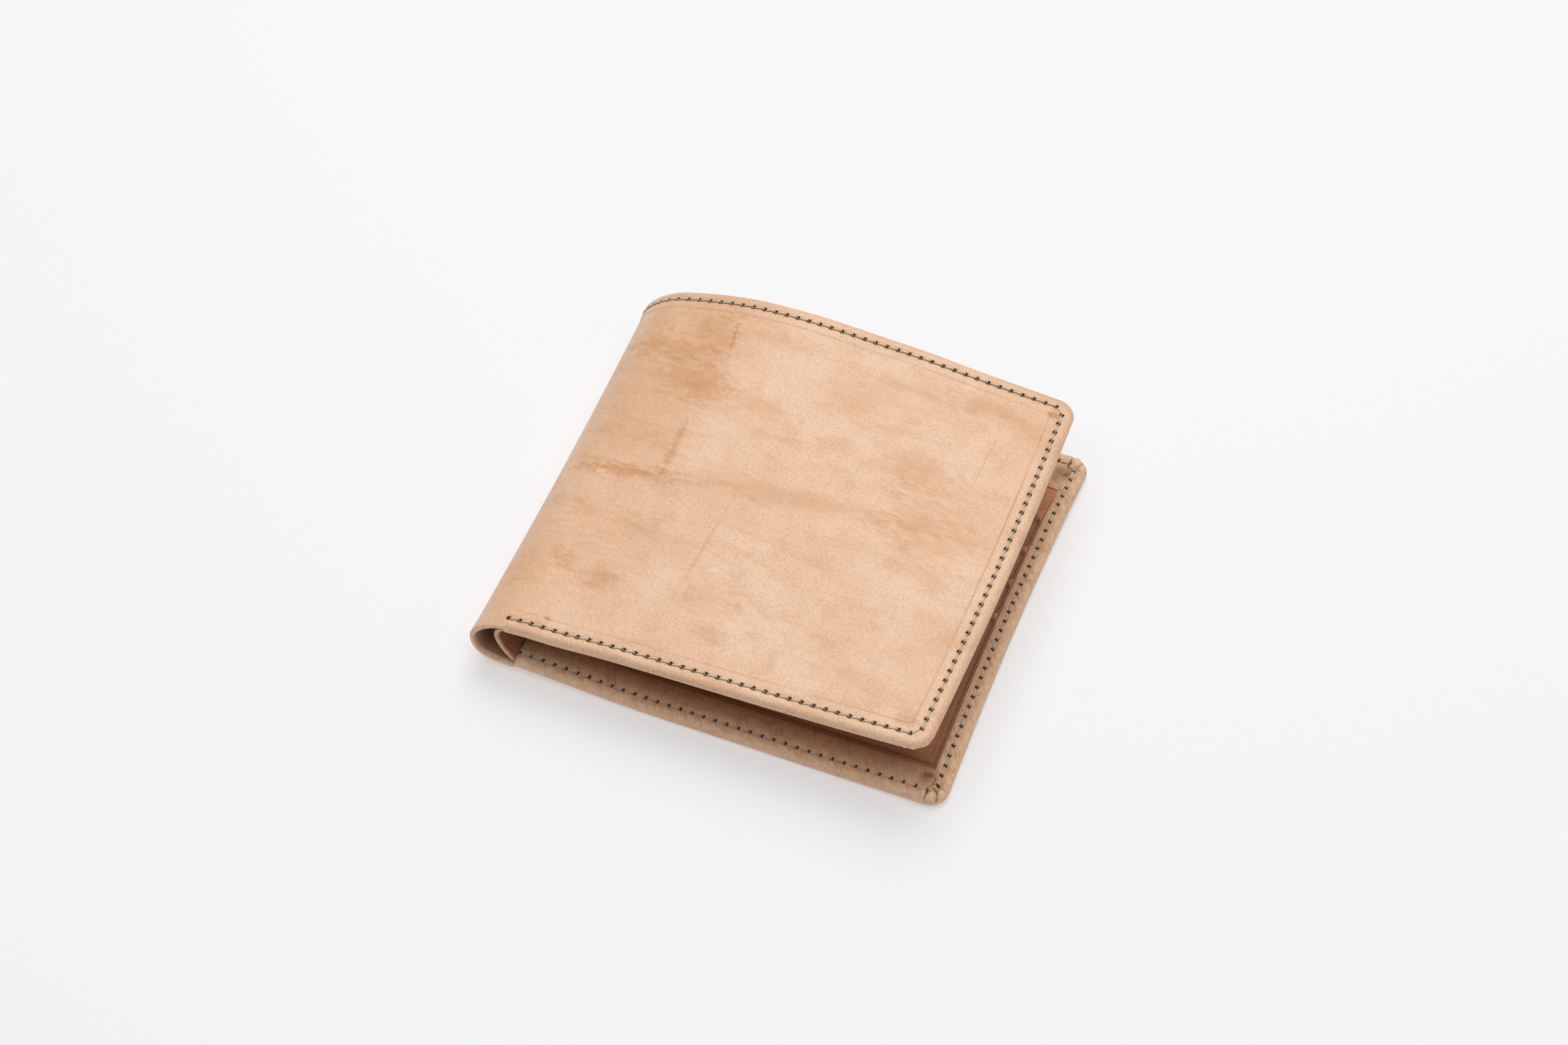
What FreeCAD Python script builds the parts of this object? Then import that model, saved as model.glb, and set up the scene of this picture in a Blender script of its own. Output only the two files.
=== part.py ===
import FreeCAD, Part
import math
import os

# Bifold wallet of undyed leather, closed and sprung a little open.
# The outer leather is folded once round a spine.  Its edges are turned in over the lining
# and the banknote divider and sewn down, and each half carries four stepped card slots.
# The fold bends along its whole length, so it is cut into three strips that turn on four
# hinges and open together.
# Millimetres.  +X runs from the spine to the free edges, +Y from the sewn bottom to the
# open top, +Z up from the table.  The origin is on the table, under the closed wallet's middle.

Vector = FreeCAD.Vector

# closed wallet
HEIGHT = 95.2            # bottom seam to open top
BACK_LENGTH = 95.3       # spine line to the free edge of the lower half
FRONT_LENGTH = 91.4      # the upper half reaches less far, because it goes round the fold
SPINE_BULGE = 8.7        # how far the fold stands out behind the spine line
CORNER_RADIUS = 4.2
SPINE_X = (SPINE_BULGE - BACK_LENGTH) / 2
BOTTOM_Y = -HEIGHT / 2

# leather layers, measured as depth below the outer face
OUTER = 1.1
LINING = (1.2, 1.5)
DIVIDER = (2.0, 2.6)
LIP = (2.7, 3.2)
TOP_LIP = (1.6, 2.0)
BACKING = (2.7, 3.0)
SLOT_START = 3.1
SLOT_THICK = 0.55
SLOT_PITCH = 0.65
EDGE_WALL = 0.9          # leather left standing where the outer turns over an edge

# turned edges
BOTTOM_LIP_WIDTH = 8.0
SIDE_LIP_WIDTH = 4.2
TOP_LIP_WIDTH = 10.3
LIP_START = 1.8          # distance from the spine line to the first turned leather
LAYER_GAP = 0.05         # left between a layer and the leather folded over it
EDGE_GAP = 0.1           # left between a layer's edge and the turn that covers it
DIVIDER_RADIUS = 1.0

# card slots
DIVIDER_TOP = 84.6
BACKING_TOP = 82.0
SLOT_TOPS = (76.4, 67.0, 57.6, 48.3)
SLOT_DEPTH = 48.0
SLOT_EAR = 9.0           # height of the full-width band at the head of a slot
SLOT_EAR_INSET = 4.0
SLOT_FLOOR = 8.3
SLOT_LEFT = 3.0
SLOT_RIGHT_MARGIN = 4.8

# seams
STITCH_PITCH = 2.55
STITCH_GAP = 0.65        # needle hole between two stitches
THREAD_WIDTH = 0.5
THREAD_THICK = 0.3
SEAM_INSET = 2.6
SEAM_START = 0.0         # the bottom seam stops at the spine line
SEAM_WIDTH = 3.2         # band along the edges where the layers are pressed together
RUN_MARGIN = 1.0         # least plain leather at each end of a straight run of stitches
GROOVE_WIDTH = 0.8
GROOVE_DEPTH = 0.45
GROOVE_CLEARANCE = 0.07
SLOT_SEAM_INSET = 1.6

# upper half: height of its outer face above the table, bottom and top of the wallet
PROFILE_X = (-4, 2, 10, 25, 40, 60, 80, 94)
PROFILE_BOTTOM = (14.6, 15.6, 15.9, 17.1, 18.0, 19.1, 20.3, 21.2)
PROFILE_TOP = (16.3, 19.2, 21.4, 23.7, 23.7, 22.3, 20.6, 19.4)
SPINE_HEIGHT_BOTTOM = 15.5
SPINE_HEIGHT_TOP = 18.3

# fold: angles are counted round it from the lower half, 180 degrees at the upper half
HINGES = 4
HINGE_STEP = 180 / HINGES
STRIP_NAMES = ("lower", "middle", "upper")
OUTER_FOLD = (SPINE_BULGE, 0.0)      # how far it bulges, and its depth below the outer face
INNER_FOLD = (3.3, 2.0)
INNER_FOLD_THICK = 1.0
FOLD_GAP = 0.3           # half the gap between two strips
LEATHER_START = -2.4     # the halves reach this far round the fold, short of a hinge
DIVIDER_START = -0.9


def place(along, up, z=0.0):
    """Point given from the spine line and the bottom edge."""
    return Vector(SPINE_X + along, BOTTOM_Y + up, z)


def outline(left, right, low, high, radius=0.0):
    """Flat face, rounded at its two free-edge corners."""
    if radius <= 0:
        corners = [place(left, low), place(right, low), place(right, high), place(left, high)]
        return Part.Face(Part.makePolygon(corners + corners[:1]))
    bend = radius * math.sqrt(0.5)
    low_centre, high_centre = (right - radius, low + radius), (right - radius, high - radius)
    edges = [
        Part.LineSegment(place(left, low), place(right - radius, low)),
        Part.Arc(
            place(right - radius, low),
            place(low_centre[0] + bend, low_centre[1] - bend),
            place(right, low + radius),
        ),
        Part.LineSegment(place(right, low + radius), place(right, high - radius)),
        Part.Arc(
            place(right, high - radius),
            place(high_centre[0] + bend, high_centre[1] + bend),
            place(right - radius, high),
        ),
        Part.LineSegment(place(right - radius, high), place(left, high)),
        Part.LineSegment(place(left, high), place(left, low)),
    ]
    return Part.Face(Part.Wire([edge.toShape() for edge in edges]))


def slot_outline(left, right, top, floor):
    """T shape of a card slot: a full-width head on a narrower body."""
    shoulder = top - SLOT_EAR
    points = [
        (left, top), (left, shoulder), (left + SLOT_EAR_INSET, shoulder),
        (left + SLOT_EAR_INSET, floor), (right - SLOT_EAR_INSET, floor),
        (right - SLOT_EAR_INSET, shoulder), (right, shoulder), (right, top),
    ]
    corners = [place(*point) for point in points]
    return Part.Face(Part.makePolygon(corners + corners[:1]))


class BackHalf:
    """Lower half: flat, its outer face on the table."""

    name = "back"
    length = BACK_LENGTH

    def layer(self, face, shallow, deep):
        return face.translated(Vector(0, 0, shallow)).extrude(Vector(0, 0, deep - shallow))


class FrontHalf:
    """Upper half: its outer face is bowed between the two profiles."""

    name = "front"
    length = FRONT_LENGTH
    overhang = 6.0           # how far the bowed slab runs past the bottom and top edges
    tallest = 30.0

    def profile(self, heights, y, depth):
        curve = Part.BSplineCurve()
        points = [Vector(SPINE_X + x, y, z - depth) for x, z in zip(PROFILE_X, heights)]
        curve.interpolate(points)
        return curve.toShape()

    def section(self, heights, y, shallow, deep):
        upper = self.profile(heights, y, shallow)
        lower = self.profile(heights, y, deep)
        first = Part.makeLine(upper.Vertexes[0].Point, lower.Vertexes[0].Point)
        last = Part.makeLine(upper.Vertexes[-1].Point, lower.Vertexes[-1].Point)
        return Part.Wire(Part.__sortEdges__([upper, last, lower, first]))

    def slab(self, shallow, deep):
        share = self.overhang / HEIGHT
        low, high = [], []
        for bottom, top in zip(PROFILE_BOTTOM, PROFILE_TOP):
            low.append(bottom - share * (top - bottom))
            high.append(top + share * (top - bottom))
        edge = HEIGHT / 2 + self.overhang
        sections = [
            self.section(low, -edge, shallow, deep),
            self.section(high, edge, shallow, deep),
        ]
        return Part.makeLoft(sections, True, True)

    def layer(self, face, shallow, deep):
        return self.slab(shallow, deep).common(face.extrude(Vector(0, 0, self.tallest)))


def outer_leather(half):
    """Outer leather of one half, with its edges turned in over the layers inside."""
    length = half.length
    top_step = DIVIDER_TOP + 0.5
    block = half.layer(outline(LEATHER_START, length, 0, HEIGHT, CORNER_RADIUS), 0, LIP[1])
    inner = (EDGE_WALL, HEIGHT - EDGE_WALL, CORNER_RADIUS - EDGE_WALL)
    start = LEATHER_START - 1
    side = length - SIDE_LIP_WIDTH
    lining_room = outline(start, length - EDGE_WALL, *inner)
    divider_room = outline(start, length - EDGE_WALL, EDGE_WALL, top_step, DIVIDER_RADIUS)
    top_hem = HEIGHT - TOP_LIP_WIDTH
    cuts = [
        half.layer(lining_room, OUTER, TOP_LIP[0] - LAYER_GAP),
        half.layer(divider_room, OUTER, LIP[0] - LAYER_GAP),
        half.layer(outline(start, side, BOTTOM_LIP_WIDTH, top_step), OUTER, LIP[1] + 1),
        half.layer(outline(start, side, top_step - 1, top_hem), OUTER, LIP[1] + 1),
        half.layer(outline(start, side, top_hem - 1, HEIGHT + 1), TOP_LIP[1], LIP[1] + 1),
        half.layer(outline(start, LIP_START, -1, top_step), OUTER, LIP[1] + 1),
    ]
    leather = block
    for cut in cuts:
        leather = leather.cut(cut)
    return leather.cut(half.layer(seam_groove(length), -1, GROOVE_DEPTH))


def seam_groove(length):
    """Ring-shaped face of the shallow groove that the outer stitches lie in."""
    half_width = GROOVE_WIDTH / 2
    start = LEATHER_START - 1
    faces = []
    for inset in (SEAM_INSET - half_width, SEAM_INSET + half_width):
        radius = CORNER_RADIUS - inset
        faces.append(outline(start, length - inset, inset, HEIGHT - inset, radius))
    ring = faces[0].cut(faces[1])
    return ring.cut(outline(start - 1, SEAM_START, -1, HEIGHT / 2))


def seam_route(length):
    """Corner points of the seam: along the bottom, up the free edge, back along the top."""
    low, high, side = SEAM_INSET, HEIGHT - SEAM_INSET, length - SEAM_INSET
    return [(SEAM_START, low), (side, low), (side, high), (LEATHER_START + 0.5, high)]


def stitches(half, route, shallow, deep):
    """One solid for each stitch along straight runs, between two depths."""
    bars = []
    for (x0, y0), (x1, y1) in zip(route, route[1:]):
        run = math.hypot(x1 - x0, y1 - y0)
        dx, dy = (x1 - x0) / run, (y1 - y0) / run
        count = int((run - 2 * RUN_MARGIN) / STITCH_PITCH)
        start = (run - count * STITCH_PITCH) / 2
        for number in range(count):
            a = start + number * STITCH_PITCH + STITCH_GAP / 2
            b = a + STITCH_PITCH - STITCH_GAP
            side = THREAD_WIDTH / 2
            corners = [
                place(x0 + dx * along - dy * across, y0 + dy * along + dx * across)
                for along, across in ((a, -side), (b, -side), (b, side), (a, side))
            ]
            bars.append(Part.Face(Part.makePolygon(corners + corners[:1])))
    return half.layer(Part.makeCompound(bars), shallow, deep)


def seam_thread(half):
    """Stitches of the edge seam, in the groove outside and on the turned edge inside."""
    route = seam_route(half.length)
    outside = stitches(half, route, GROOVE_CLEARANCE, GROOVE_CLEARANCE + THREAD_THICK)
    top = LIP[1] + GROOVE_CLEARANCE
    inside_route = [(LIP_START + 0.5, route[0][1]), route[1], (route[2][0], DIVIDER_TOP)]
    inside = stitches(half, inside_route, top, top + THREAD_THICK)
    top = TOP_LIP[1] + GROOVE_CLEARANCE
    hem_route = [(half.length - SIDE_LIP_WIDTH - 1, route[2][1]), route[3]]
    hem = stitches(half, hem_route, top, top + THREAD_THICK)
    return Part.makeCompound(outside.Solids + inside.Solids + hem.Solids)


def lining(half):
    inset = EDGE_WALL + EDGE_GAP
    right = half.length - inset
    face = outline(LEATHER_START, right, inset, HEIGHT - inset, CORNER_RADIUS - inset)
    return half.layer(face, *LINING)


def divider(half):
    """Front wall of the banknote pocket, padded down to the lining along its seams."""
    inset = EDGE_WALL + EDGE_GAP
    right = half.length - inset
    sheet = half.layer(outline(DIVIDER_START, right, inset, DIVIDER_TOP, DIVIDER_RADIUS), *DIVIDER)
    low, high = inset + DIVIDER_RADIUS, DIVIDER_TOP - DIVIDER_RADIUS
    bands = [
        outline(DIVIDER_START, right - DIVIDER_RADIUS, inset, SEAM_WIDTH),
        outline(half.length - SEAM_WIDTH, right, low, high),
    ]
    reach = (LINING[1] + LAYER_GAP, DIVIDER[1] - EDGE_GAP)
    pads = [half.layer(band, *reach) for band in bands]
    return sheet.fuse(pads).removeSplitter()


def slot_box(half):
    return SLOT_LEFT, half.length - SLOT_RIGHT_MARGIN


def card_backing(half):
    left, right = slot_box(half)
    return half.layer(outline(left, right, SLOT_FLOOR, BACKING_TOP), *BACKING)


def card_slot(half, number):
    left, right = slot_box(half)
    top = SLOT_TOPS[number]
    shallow = SLOT_START + number * SLOT_PITCH
    if number == len(SLOT_TOPS) - 1:
        face = outline(left, right, SLOT_FLOOR, top)
    else:
        face = slot_outline(left, right, top, max(SLOT_FLOOR, top - SLOT_DEPTH))
    return half.layer(face, shallow, shallow + SLOT_THICK)


def slot_thread(half):
    """Seam that closes the front card slot along the spine."""
    left, _ = slot_box(half)
    along = left + SLOT_SEAM_INSET
    top = SLOT_START + (len(SLOT_TOPS) - 1) * SLOT_PITCH + SLOT_THICK + GROOVE_CLEARANCE
    route = [(along, SLOT_FLOOR), (along, SLOT_TOPS[-1])]
    return stitches(half, route, top, top + THREAD_THICK)


def fold_edge(fold, inset, height, start, stop, y):
    """Arc round the fold between two angles, this far inside its outer face."""
    bulge, drop = fold
    wide = bulge - inset
    tall = height / 2 - drop - inset
    points = []
    spans = 6
    for number in range(spans + 1):
        angle = start + (stop - start) * number / spans
        x = SPINE_X - wide * math.sin(angle)
        points.append(Vector(x, y, height / 2 - tall * math.cos(angle)))
    curve = Part.BSplineCurve()
    curve.interpolate(points)
    return curve.toShape()


def strip(fold, outside, inside, start, stop):
    """Strip of the fold between two depths and two angles, over the wallet's height."""
    sections = []
    for y, height in ((-HEIGHT / 2, SPINE_HEIGHT_BOTTOM), (HEIGHT / 2, SPINE_HEIGHT_TOP)):
        outer = fold_edge(fold, outside, height, start, stop, y)
        inner = fold_edge(fold, inside, height, start, stop, y)
        first = Part.makeLine(outer.Vertexes[0].Point, inner.Vertexes[0].Point)
        last = Part.makeLine(outer.Vertexes[-1].Point, inner.Vertexes[-1].Point)
        sections.append(Part.Wire(Part.__sortEdges__([outer, last, inner, first])))
    return Part.makeLoft(sections, True, True)


def between(shape, low, high):
    """The part of a strip between two heights above the bottom edge."""
    size = 60.0
    corner = Vector(SPINE_X - size / 2, BOTTOM_Y + low, -size / 2)
    return shape.common(Part.makeBox(size, high - low, size, corner))


def strip_angles(number, radius):
    """Angles where a strip starts and stops, short of its hinges by half a gap."""
    hinge = math.radians(HINGE_STEP)
    trim = FOLD_GAP / radius
    return hinge * (number + 0.5) + trim, hinge * (number + 1.5) - trim


def strip_leather(number):
    """Outer leather of one strip, with the hem that is turned in along its top."""
    start, stop = strip_angles(number, SPINE_BULGE)
    wider = (start - 0.1, stop + 0.1)
    block = strip(OUTER_FOLD, 0, TOP_LIP[1], start, stop)
    room = strip(OUTER_FOLD, OUTER, TOP_LIP[0] - LAYER_GAP, *wider)
    below_hem = strip(OUTER_FOLD, OUTER, LIP[1], *wider)
    groove = strip(OUTER_FOLD, -1, GROOVE_DEPTH, *wider)
    seam = HEIGHT - SEAM_INSET
    cuts = [
        between(room, -1, HEIGHT - EDGE_WALL),
        between(below_hem, -1, HEIGHT - TOP_LIP_WIDTH),
        between(groove, seam - GROOVE_WIDTH / 2, seam + GROOVE_WIDTH / 2),
    ]
    return block.cut(cuts)


def strip_lining(number):
    start, stop = strip_angles(number, SPINE_BULGE)
    return between(strip(OUTER_FOLD, *LINING, start, stop), 0, HEIGHT - EDGE_WALL - EDGE_GAP)


def strip_divider(number):
    start, stop = strip_angles(number, INNER_FOLD[0])
    return between(strip(INNER_FOLD, 0, INNER_FOLD_THICK, start, stop), 0, DIVIDER_TOP)


def strip_thread(number):
    """Stitches of the top seam where it runs round the fold."""
    start, stop = strip_angles(number, SPINE_BULGE)
    count = round((stop - start) * SPINE_BULGE / STITCH_PITCH)
    step = (stop - start) / count
    gap = STITCH_GAP / SPINE_BULGE / 2
    seam = HEIGHT - SEAM_INSET
    bars = []
    for stitch in range(count):
        first = start + stitch * step + gap
        last = start + (stitch + 1) * step - gap
        deep = GROOVE_CLEARANCE + THREAD_THICK
        bar = strip(OUTER_FOLD, GROOVE_CLEARANCE, deep, first, last)
        bars += between(bar, seam - THREAD_WIDTH / 2, seam + THREAD_WIDTH / 2).Solids
    return Part.makeCompound(bars)


def parts():
    made = {}
    for number, name in enumerate(STRIP_NAMES):
        made["outer_leather_spine_" + name] = strip_leather(number)
        made["lining_spine_" + name] = strip_lining(number)
        made["banknote_divider_spine_" + name] = strip_divider(number)
        made["seam_thread_spine_" + name] = strip_thread(number)
    for half in (BackHalf(), FrontHalf()):
        made["outer_leather_" + half.name] = outer_leather(half)
        made["lining_" + half.name] = lining(half)
        made["banknote_divider_" + half.name] = divider(half)
        made["card_backing_" + half.name] = card_backing(half)
        for number in range(len(SLOT_TOPS)):
            made[f"card_slot_{number + 1}_{half.name}"] = card_slot(half, number)
        made["edge_seam_thread_" + half.name] = seam_thread(half)
        made["slot_seam_thread_" + half.name] = slot_thread(half)
    return made


def hinge_lines():
    """Hinges a little outside the fold, where they leave the outer leather its length."""
    radius = (SPINE_BULGE + (SPINE_HEIGHT_BOTTOM + SPINE_HEIGHT_TOP) / 4) / 2
    half_step = math.radians(HINGE_STEP) / 2
    reach = radius * half_step / math.sin(half_step)
    lines = []
    for number in range(HINGES):
        angle = math.radians(HINGE_STEP * (number + 0.5))
        lines.append((SPINE_X - reach * math.sin(angle), radius - reach * math.cos(angle)))
    return lines


os.makedirs("parts", exist_ok=True)
for node, shape in parts().items():
    shape.exportStep(f"parts/{node}.step")
    print(node, len(shape.Solids), "solids", round(shape.Volume, 1), "mm3", shape.isValid())
for number, (x, z) in enumerate(hinge_lines()):
    print("hinge", number + 1, "along Y at x", round(x, 3), "z", round(z, 3))
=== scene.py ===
import math
import bpy
import bmesh
import numpy as np
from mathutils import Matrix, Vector


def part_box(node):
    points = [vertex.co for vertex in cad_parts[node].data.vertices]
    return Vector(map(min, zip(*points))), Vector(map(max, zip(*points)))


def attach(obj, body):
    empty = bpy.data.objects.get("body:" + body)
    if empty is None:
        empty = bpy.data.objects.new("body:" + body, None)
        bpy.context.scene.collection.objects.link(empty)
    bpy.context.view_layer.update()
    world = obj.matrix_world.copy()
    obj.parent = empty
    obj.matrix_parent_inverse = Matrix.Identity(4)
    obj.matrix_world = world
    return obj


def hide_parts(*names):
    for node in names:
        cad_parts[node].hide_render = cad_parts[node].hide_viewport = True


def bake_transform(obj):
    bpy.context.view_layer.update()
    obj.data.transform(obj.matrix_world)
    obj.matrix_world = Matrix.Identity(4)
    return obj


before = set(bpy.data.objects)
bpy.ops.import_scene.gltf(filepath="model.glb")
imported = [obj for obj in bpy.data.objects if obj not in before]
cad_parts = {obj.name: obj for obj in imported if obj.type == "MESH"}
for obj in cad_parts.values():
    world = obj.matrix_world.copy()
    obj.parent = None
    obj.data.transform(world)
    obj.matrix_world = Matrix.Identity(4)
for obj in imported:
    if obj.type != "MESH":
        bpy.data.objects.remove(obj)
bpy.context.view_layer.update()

mm = 0.001
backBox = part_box("outer_leather_back")

# the wallet laid out flat, in mm: u runs from the cover's free edge (negative) over the fold
# to the lower half's free edge (positive), v from the sewn bottom to the open top
wallet = {
    "back": 95.3, "fold": 27.0, "front": 91.0,
    "height": (backBox[1].y - backBox[0].y) / mm,
    "corner": 4.2,
}
spineX = backBox[1].x / mm - wallet["back"]
bottomY = backBox[0].y / mm

# height of the cover's outer face over the table, along its bottom and its top edge
cover = {
    "nearX": (-2, 4, 10, 18, 29, 48, 64, 79, 91),
    "nearZ": (15.2, 15.8, 15.95, 16.7, 17.45, 18.4, 19.25, 20.3, 21.4),
    "farX": (-2, 1, 5, 10, 16, 24, 34, 46, 57, 66, 76, 91),
    "farZ": (17.5, 18.8, 20.2, 21.65, 23.0, 23.8, 24.0, 23.35, 22.75, 21.75, 20.8, 19.6),
    "bulge": 0.9,           # the free edge stands out this much halfway up
}
lowerHalf = {"nearLift": 1.5, "farLift": 0.7, "liftRun": 32.0, "tipLift": 0.3, "waist": 1.0}
# how far the fold stands out, and the pull of its curve at the bottom, the middle and the top
foldNear = {"reach": 8.65, "middle": 7.8, "pulls": (6.3, 4.3, 3.2, 4.6)}
foldFar = {"reach": 8.75, "middle": 9.4, "pulls": (6.0, 5.4, 2.6, 4.0)}
foldPinch = 0.6


def smooth(t):
    t = np.clip(t, 0.0, 1.0)
    return t * t * (3 - 2 * t)


def bell(x, centre, width):
    return np.exp(-(((x - centre) / width) ** 2))


def curveThrough(xs, ys):
    # natural cubic spline
    xs, ys = np.array(xs, float), np.array(ys, float)
    gap = np.diff(xs)
    rise = np.diff(ys) / gap
    size = len(xs)
    system, right = np.eye(size), np.zeros(size)
    for k in range(1, size - 1):
        system[k, k - 1:k + 2] = gap[k - 1], 2 * (gap[k - 1] + gap[k]), gap[k]
        right[k] = 6 * (rise[k] - rise[k - 1])
    bend = np.linalg.solve(system, right)

    def at(x):
        x = np.asarray(x, float)
        k = np.clip(np.searchsorted(xs, x) - 1, 0, size - 2)
        h, left, over = gap[k], x - xs[k], xs[k + 1] - x
        inside = (bend[k] * over**3 + bend[k + 1] * left**3) / (6 * h)
        return inside + (ys[k] / h - bend[k] * h / 6) * over + (ys[k + 1] / h - bend[k + 1] * h / 6) * left
    return at


nearHeight = curveThrough(cover["nearX"], cover["nearZ"])
farHeight = curveThrough(cover["farX"], cover["farZ"])


def bezier(a, b, c, d, t):
    t = np.asarray(t, float)[..., None]
    return a * (1 - t)**3 + 3 * b * t * (1 - t)**2 + 3 * c * t**2 * (1 - t) + d * t**3


def foldCurve(shape, lift, topHeight):
    # x and z round the fold at equal steps of length, from the lower half to the cover
    top = float(topHeight(0.0))
    slope = float(topHeight(0.5) - topHeight(-0.5))
    first, second, third, fourth = shape["pulls"]
    start, middle, end = (np.array(p) for p in ((0, lift), (-shape["reach"], shape["middle"]), (0, top)))
    t = np.linspace(0, 1, 300)
    lower = bezier(start, start - (first, 0), middle - (0, second), middle, t)
    upper = bezier(middle, middle + (0, third), end - np.array((fourth, fourth * slope)), end, t)
    line = np.vstack([lower, upper[1:]])
    run = np.concatenate([[0], np.cumsum(np.hypot(*np.diff(line, axis=0).T))])
    share = np.linspace(0, 1, 600)
    return np.column_stack([np.interp(share * run[-1], run, line[:, k]) for k in (0, 1)])


nearFold = foldCurve(foldNear, lowerHalf["nearLift"], nearHeight)
farFold = foldCurve(foldFar, lowerHalf["farLift"], farHeight)


def skin(u, v):
    # outer face of the wallet, folded: flat lower half, fold, bowed cover
    u, v = np.broadcast_arrays(np.asarray(u, float), np.asarray(v, float))
    up = v / wallet["height"]
    middle = np.sin(math.pi * np.clip(up, 0, 1))
    lift = (lowerHalf["nearLift"] * (1 - up) + lowerHalf["farLift"] * up)
    xBack = u - lowerHalf["waist"] * middle * smooth((u - 55) / 40)
    zBack = lift * (1 - smooth(u / lowerHalf["liftRun"])) + lowerHalf["tipLift"] * smooth((u - 65) / 30)
    a = -wallet["fold"] - u
    xFront = a + cover["bulge"] * middle * smooth((a - 50) / 40)
    zFront = nearHeight(a) * (1 - up) + farHeight(a) * up
    share = np.clip(-u / wallet["fold"], 0, 1)
    steps = np.linspace(0, 1, len(nearFold))
    fold = [np.interp(share, steps, nearFold[:, k]) * (1 - up)
            + np.interp(share, steps, farFold[:, k]) * up for k in (0, 1)]
    fold[0] = fold[0] + foldPinch * middle * np.sin(math.pi * share)**2
    x = np.where(u >= 0, xBack, np.where(a >= 0, xFront, fold[0]))
    z = np.where(u >= 0, zBack, np.where(a >= 0, zFront, fold[1]))
    return np.stack([x + spineX, v + bottomY, z], -1)


def inwardOf(surface, u, v, step=0.3):
    along = surface(u + step, v) - surface(u - step, v)
    across = surface(u, v + step) - surface(u, v - step)
    normal = np.cross(along, across)
    return normal / np.linalg.norm(normal, axis=-1, keepdims=True)


def wrap(u, v, depth):
    # a point of the flat layout, depth mm inside the outer face, on the folded wallet
    u, v, depth = np.broadcast_arrays(*(np.asarray(k, float) for k in (u, v, depth)))
    return skin(u, v) + inwardOf(skin, u, v) * depth[..., None]


def placed(name, data):
    thing = bpy.data.objects.new(name, data)
    bpy.context.scene.collection.objects.link(thing)
    return thing


def meshPiece(name, points, faces, material, layout, marks=None):
    # points in mm; layout is each point's place in the flat leather, marks are named shades
    mesh = bpy.data.meshes.new(name)
    mesh.from_pydata((points * mm).tolist(), [], faces)
    mesh.polygons.foreach_set("use_smooth", [True] * len(mesh.polygons))
    mesh.attributes.new("layout", "FLOAT_VECTOR", "POINT").data.foreach_set("vector", layout.ravel())
    for mark, values in (marks or {}).items():
        mesh.attributes.new(mark, "FLOAT", "POINT").data.foreach_set("value", values)
    mesh.validate()
    mesh.update()
    mesh.materials.append(material)
    return placed(name, mesh)


def facingOut(points, faces):
    # turns a closed mesh's faces outward and gives its smooth normals
    mesh = bpy.data.meshes.new("trial")
    mesh.from_pydata(points.tolist(), [], faces)
    work = bmesh.new()
    work.from_mesh(mesh)
    bmesh.ops.recalc_face_normals(work, faces=work.faces)
    work.to_mesh(mesh)
    work.free()
    turned = [list(p.vertices) for p in mesh.polygons]
    normals = np.zeros(len(points) * 3)
    mesh.vertices.foreach_get("normal", normals)
    bpy.data.meshes.remove(mesh)
    return turned, normals.reshape(-1, 3)


# the outer leather is one closed skin: rings round its edge, and a panel on each side
seam = {
    "inset": 2.6, "pitch": 2.55, "dip": 0.15, "hole": 0.75, "holeLong": 0.52, "holeWide": 0.44,
    "line": 4.92, "lineWide": 0.16, "step": 0.13,       # the line pressed beside the seam, and its drop
}
hem = {
    "bottom": 8.0, "side": 4.3, "top": 10.3,         # widths of the turned leather
    "thickBack": 2.65, "thickFront": 2.55, "thickTop": 2.15, "thin": 1.15, "lip": 0.55,
    "backStart": 1.2, "frontStart": -0.6,
}
pitchSteps = np.array([0, 0.07, 0.2, 0.5, 0.8, 0.93])    # points along one stitch, close to its hole
cornerSteps = 9             # points round half a corner; with the stitch steps each side keeps to sixes


flatLength = wallet["back"] + wallet["fold"] + wallet["front"]
acrossStitches = round((flatLength - 2 * wallet["corner"]) / seam["pitch"])
upStitches = round((wallet["height"] - 2 * wallet["corner"]) / seam["pitch"])
uLow, uHigh = -wallet["fold"] - wallet["front"], wallet["back"]


def ringRadius(inset):
    # corner radius of a ring: a true offset as far as the seam, then closing to a sharp corner
    turn = seam["inset"]
    rest = wallet["corner"] - turn
    return np.where(inset < turn, wallet["corner"] - inset, rest * np.exp(-(inset - turn) / rest))


def ring(bottom, right, top, left, radius):
    # points of one ring, from the middle of the cover's bottom corner, bottom side first
    corners = [(uLow + left + radius, bottom + radius), (uHigh - right - radius, bottom + radius),
               (uHigh - right - radius, wallet["height"] - top - radius),
               (uLow + left + radius, wallet["height"] - top - radius)]
    points = []
    for side, stitches in enumerate((acrossStitches, upStitches, acrossStitches, upStitches)):
        first, second = np.array(corners[side]), np.array(corners[(side + 1) % 4])
        turn = math.radians(225 + 90 * side)
        angles = turn + math.pi / 4 * np.arange(cornerSteps) / cornerSteps
        points.append(first + radius * np.column_stack([np.cos(angles), np.sin(angles)]))
        out = radius * np.array([math.cos(turn + math.pi / 4), math.sin(turn + math.pi / 4)])
        t = ((np.arange(stitches)[:, None] + pitchSteps) / stitches).reshape(-1, 1)
        points.append((first + out) * (1 - t) + (second + out) * t)
        angles = angles + math.pi / 4
        points.append(second + radius * np.column_stack([np.cos(angles), np.sin(angles)]))
    return np.vstack(points)


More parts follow.
